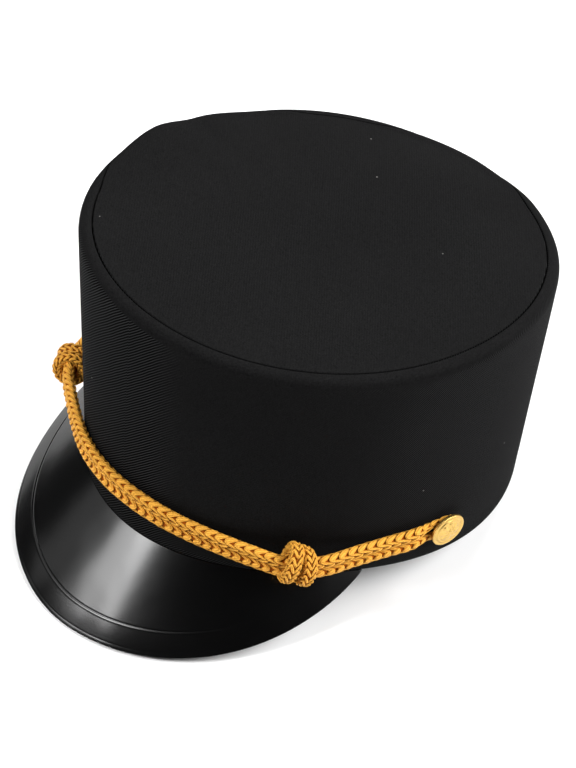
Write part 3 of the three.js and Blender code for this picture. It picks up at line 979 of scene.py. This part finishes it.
def cord_frame(angle):
    """The wall's own directions at the cord's middle."""
    return wall_frame(angle, cord_column(1, angle))


def wall_point(angle, height, standoff):
    outward, _, _ = wall_frame(angle, height)
    return crown_point(angle, 0, height) + outward * np.asarray(standoff)[..., None]


def cord_run(angles, side):
    """One run of the cord: the upper on side 1, the lower on side -1."""
    parting = smooth((abs(angles) - (BUTTON_ANGLE - PART_ANGLE)) / PART_ANGLE)
    half = CORD_SPACING / 2 + (BIGHT_RADIUS - CORD_SPACING / 2) * parting
    rise = cord_column(1, angles) + side * half
    return wall_point(angles, rise, cord_column(2, angles)), cord_frame(angles)[0]


def cord_bight(angle, start_side):
    """The cord's turn round a button's shank."""
    outward, along, up = cord_frame(angle)
    turns = np.radians(np.linspace(BIGHT_REACH, -BIGHT_REACH, BIGHT_STEPS))[:, None]
    points = cord_middle(angle) + along * np.sign(angle) * BIGHT_RADIUS * np.cos(turns)
    points = points + up * start_side * BIGHT_RADIUS * np.sin(turns)
    return points, np.repeat(outward[None], len(turns), 0)


class HAT_OT_cord(bpy.types.Operator):
    """Knits the doubled cord that runs across the front and round the two buttons."""

    bl_idname = "hat.cord"
    bl_label = "Cord"
    step = 0.8  # degrees round the hat
    lower_shares = ((0, 0), (0, 1), (1, 1), (1, 0), (0, 0))  # at each span's start and end

    def execute(self, context):
        settings = context.scene.hat_cord
        join = KNOT_ANGLES["left"]

        def angles(first, last):
            return np.linspace(first, last, int(abs(last - first) / self.step) + 1)

        spans = [
            angles(join + 0.2, BUTTON_ANGLE), np.full(BIGHT_STEPS, BUTTON_ANGLE),
            angles(BUTTON_ANGLE, -BUTTON_ANGLE), np.full(BIGHT_STEPS, BUTTON_ANGLE),
            angles(-BUTTON_ANGLE, join - 0.2),
        ]
        parts = [
            cord_run(spans[0], 1), cord_bight(BUTTON_ANGLE, 1), cord_run(spans[2], -1),
            cord_bight(-BUTTON_ANGLE, -1), cord_run(spans[4], 1),
        ]
        route = np.concatenate([part[0] for part in parts])
        facing = np.concatenate([part[1] for part in parts])
        thick = np.concatenate([cord_column(3, span) / 2 for span in spans])
        near_button = smooth((np.abs(np.concatenate(spans)) - DRAWN_IN_FROM) / DRAWN_IN_OVER)
        wide = CORD_DIAMETER / 2 - DRAWN_IN * near_button
        lower_share = np.concatenate(
            [np.linspace(*ends, len(span)) for ends, span in zip(self.lower_shares, spans)]
        )[:, None]
        stitches = [
            np.array(upper) * (1 - lower_share) + np.array(lower) * lower_share
            for upper, lower in zip(UPPER_STITCHES, LOWER_STITCHES)
        ]
        pitch = settings.stitch_pitch / MM
        strand = knit(route, facing, wide, thick, stitches, pitch, seed=3)
        cord = knitted_object("chin_cord_knit", [strand], cord_finish())
        dress(cord, "gold_cord", "chin_cord")
        return {"FINISHED"}


class HAT_OT_knots(bpy.types.Operator):
    """Knits the two slide knots: each is two turns of the cord wound round its two runs."""

    bl_idname = "hat.knots"
    bl_label = "Knots"

    def execute(self, context):
        pitch = context.scene.hat_cord.stitch_pitch / MM * KNOT_TIGHTNESS
        material = bpy.data.materials.get("knitted_gold")
        if material is None:
            raise RuntimeError("make the cord before its knots")
        for name, angle in KNOT_ANGLES.items():
            outward, along, up = cord_frame(angle)
            strands = []
            for order, (offset, height, depth, lean, bow, raised) in enumerate(KNOT_TURNS[name]):
                tilt = math.radians(lean)
                ring_up = up * math.cos(tilt) + along * math.sin(tilt)
                axis = along * math.cos(tilt) - up * math.sin(tilt)
                centre = cord_middle(angle) + up * raised + axis * offset
                turn = np.radians(np.arange(0, 360, 6))[:, None]
                route = centre + ring_up * np.cos(turn) * height + outward * np.sin(turn) * depth
                route = route + axis * math.copysign(bow, offset) * np.sin(turn)
                facing = ring_up * np.cos(turn) / height + outward * np.sin(turn) / depth
                strand = knit(
                    route, facing, KNOT_HALF_WIDTH, KNOT_HALF_THICKNESS, KNOT_STITCHES, pitch,
                    seed=5 + order, closed=True,
                )
                strands.append(strand)
            knot = knitted_object(f"knot_{name}_knit", strands, material)
            dress(knot, "gold_cord", f"cord_knot_{name}")
        return {"FINISHED"}


# ---- Buttons ----


def rosette(distance, turn):
    """A plain rosette pressed into the button's face, as a height at a share of its radius."""
    count, boss, petal_end, ring_at, relief = 8, 0.20, 0.74, 0.86, 0.34
    petals = 0.5 + 0.5 * np.cos(count * turn)
    flower = petals * smooth((petal_end - distance) / 0.12) * smooth((distance - boss) / 0.10)
    middle = smooth((boss - distance) / 0.08)
    ring = np.exp(-(((distance - ring_at) / 0.04) ** 2))
    return relief * (flower + middle + ring)


class HAT_OT_buttons(bpy.types.Operator):
    """Makes the two gold buttons, with a milled rim and a rosette on a low dome."""

    bl_idname = "hat.buttons"
    bl_label = "Buttons"

    def execute(self, context):
        settings = context.scene.hat_button
        radius = settings.radius / MM
        gold = gold_finish()
        back, top, rim, dome_rise, tooth_depth = 3.2, 4.8, 1.2, 1.25, 0.16
        foot, foot_radius = GAP + 0.4, 1.7
        columns = settings.teeth * 6
        turn = np.arange(columns) * 2 * math.pi / columns
        milling = smooth(0.5 + 0.9 * np.cos(turn * settings.teeth)) * tooth_depth
        shank = [(0.0, GAP), (foot_radius, GAP), (foot_radius, foot), (SHANK_RADIUS, foot)]
        shank += [(SHANK_RADIUS, back), (radius - 0.5, back), (radius - 0.2, back + 0.1)]
        side = [(radius, height) for height in (back + 0.35, back + 0.7, top - 0.7, top - 0.35)]
        edge = [(radius - 0.15, top - 0.1), (radius - 0.4, top), (radius - 0.75, top + 0.02)]
        edge += [(radius - 1.0, top - 0.12), (radius - rim, top - 0.2)]
        inner = radius - rim
        shares = np.linspace(0.985, 0, 34)
        dome = [(inner * share, top - 0.2 + dome_rise * (1 - share**2)) for share in shares]
        rings = []
        for section in (shank, side, edge, dome):
            for reach, height in section:
                reach_round = reach - milling * (section is side)
                rise = rosette(reach / inner, turn) if section is dome else np.zeros(columns)
                across, upward = reach_round * np.cos(turn), reach_round * np.sin(turn)
                rings.append(np.stack([across, upward, height + rise], -1))
        grid = np.array(rings)
        for name, sign in (("left", 1), ("right", -1)):
            angle = sign * BUTTON_ANGLE
            outward, along, up = cord_frame(angle)
            seat = crown_point(angle, 0, cord_column(1, angle))
            placed = seat + grid[..., :1] * along + grid[..., 1:2] * up + grid[..., 2:] * outward
            uv = closed_up(grid, 1)[..., :2] * MM
            button = grid_object(f"button_{name}_gold", placed, uv, gold, wrap_columns=True)
            dress(button, "gold_metal", f"side_button_{name}")
        return {"FINISHED"}


# ---- Stage ----


def towards(azimuth, elevation):
    """The direction at an angle round the hat, from the front, and above the floor."""
    a, e = math.radians(azimuth), math.radians(elevation)
    return Vector((math.sin(a) * math.cos(e), -math.cos(a) * math.cos(e), math.sin(e)))


SOFTBOXES = (
    # name, azimuth, elevation, distance, width, height, watts
    ("key_core", -16.0, 47.0, 1.30, 0.22, 0.50, 7.2),
    ("key_wing", -29.0, 42.0, 1.30, 0.27, 0.50, 5.8),
    ("key_fringe", -42.0, 38.0, 1.30, 0.27, 0.50, 0.7),
    ("left_wing", -58.0, 30.0, 1.30, 0.55, 0.60, 0.9),
    ("left_high", -65.0, 64.0, 1.50, 0.70, 0.60, 3.6),
    ("right_strip", 88.0, 50.0, 1.50, 0.35, 0.60, 0.3),
    ("right_softbox", 129.0, 37.0, 1.50, 1.20, 0.60, 36.0),
    ("back_softbox", -150.0, 40.0, 1.60, 0.80, 0.80, 14.0),
)


class HAT_OT_stage(bpy.types.Operator):
    """Sets the pale floor, the soft studio light and the camera."""

    bl_idname = "hat.stage"
    bl_label = "Stage"
    aim = Vector((6.13, 2.30, 54.85)) * MM
    half_floor = 6.0
    world_light = 0.036

    def execute(self, context):
        scene = context.scene
        settings = scene.hat_stage
        aim, half = self.aim, self.half_floor
        mesh = bpy.data.meshes.new("floor")
        corners = [(-half, -half, 0), (half, -half, 0), (half, half, 0), (-half, half, 0)]
        mesh.from_pydata(corners, [], [(0, 1, 2, 3)])
        mesh.materials.append(floor_finish())
        floor = bpy.data.objects.new("floor", mesh)
        scene.collection.objects.link(floor)

        for name, azimuth, elevation, distance, width, height, watts in SOFTBOXES:
            data = bpy.data.lights.new(name, "AREA")
            data.shape = "RECTANGLE"
            data.size, data.size_y, data.energy = width, height, watts
            light = bpy.data.objects.new(name, data)
            direction = towards(azimuth, elevation)
            light.location = aim + direction * distance
            light.rotation_euler = direction.to_track_quat("Z", "Y").to_euler()
            scene.collection.objects.link(light)

        world = bpy.data.worlds.new("studio")
        world.use_nodes = True
        colour_input, strength = world.node_tree.nodes["Background"].inputs[:2]
        colour_input.default_value = (1, 1, 1, 1)
        strength.default_value = self.world_light
        scene.world = world
        scene.view_settings.view_transform = "Standard"

        data = bpy.data.cameras.new("camera")
        data.lens = settings.lens
        data.sensor_width = 36.0
        camera = bpy.data.objects.new("camera", data)
        back = towards(math.degrees(settings.azimuth), math.degrees(settings.elevation))
        camera.location = aim + back * settings.distance
        turn = back.to_track_quat("Z", "Y") @ Matrix.Rotation(settings.roll, 3, "Z").to_quaternion()
        camera.rotation_mode = "QUATERNION"
        camera.rotation_quaternion = turn
        scene.collection.objects.link(camera)
        scene.camera = camera
        return {"FINISHED"}


# ---- Panel ----


class HAT_PT_panel(bpy.types.Panel):
    """Lists the hat's settings and pieces."""

    bl_idname = "HAT_PT_panel"
    bl_label = "Conductor Hat"
    bl_space_type = "VIEW_3D"
    bl_region_type = "UI"
    bl_category = "Hat"

    def draw(self, context):
        for setting in SETTINGS:
            group = getattr(context.scene, setting)
            box = self.layout.box()
            for key in group.__annotations__:
                box.prop(group, key)
        for operator in OPERATORS:
            self.layout.operator(operator.bl_idname)


SETTINGS = {
    "hat_cloth": HAT_PG_cloth,
    "hat_visor": HAT_PG_visor,
    "hat_cord": HAT_PG_cord,
    "hat_button": HAT_PG_button,
    "hat_stage": HAT_PG_stage,
}
OPERATORS = (HAT_OT_stage, HAT_OT_crown, HAT_OT_visor, HAT_OT_cord, HAT_OT_knots, HAT_OT_buttons)
CLASSES = (*SETTINGS.values(), *OPERATORS, HAT_PT_panel)


def register():
    for item in CLASSES:
        bpy.utils.register_class(item)
    for setting, group in SETTINGS.items():
        setattr(bpy.types.Scene, setting, bpy.props.PointerProperty(type=group))


def unregister():
    for setting in SETTINGS:
        delattr(bpy.types.Scene, setting)
    for item in reversed(CLASSES):
        bpy.utils.unregister_class(item)


def main():
    register()
    bpy.ops.hat.stage()
    bpy.ops.hat.crown()
    bpy.ops.hat.visor()
    bpy.ops.hat.cord()
    bpy.ops.hat.knots()
    bpy.ops.hat.buttons()


if __name__ == "__main__":
    main()
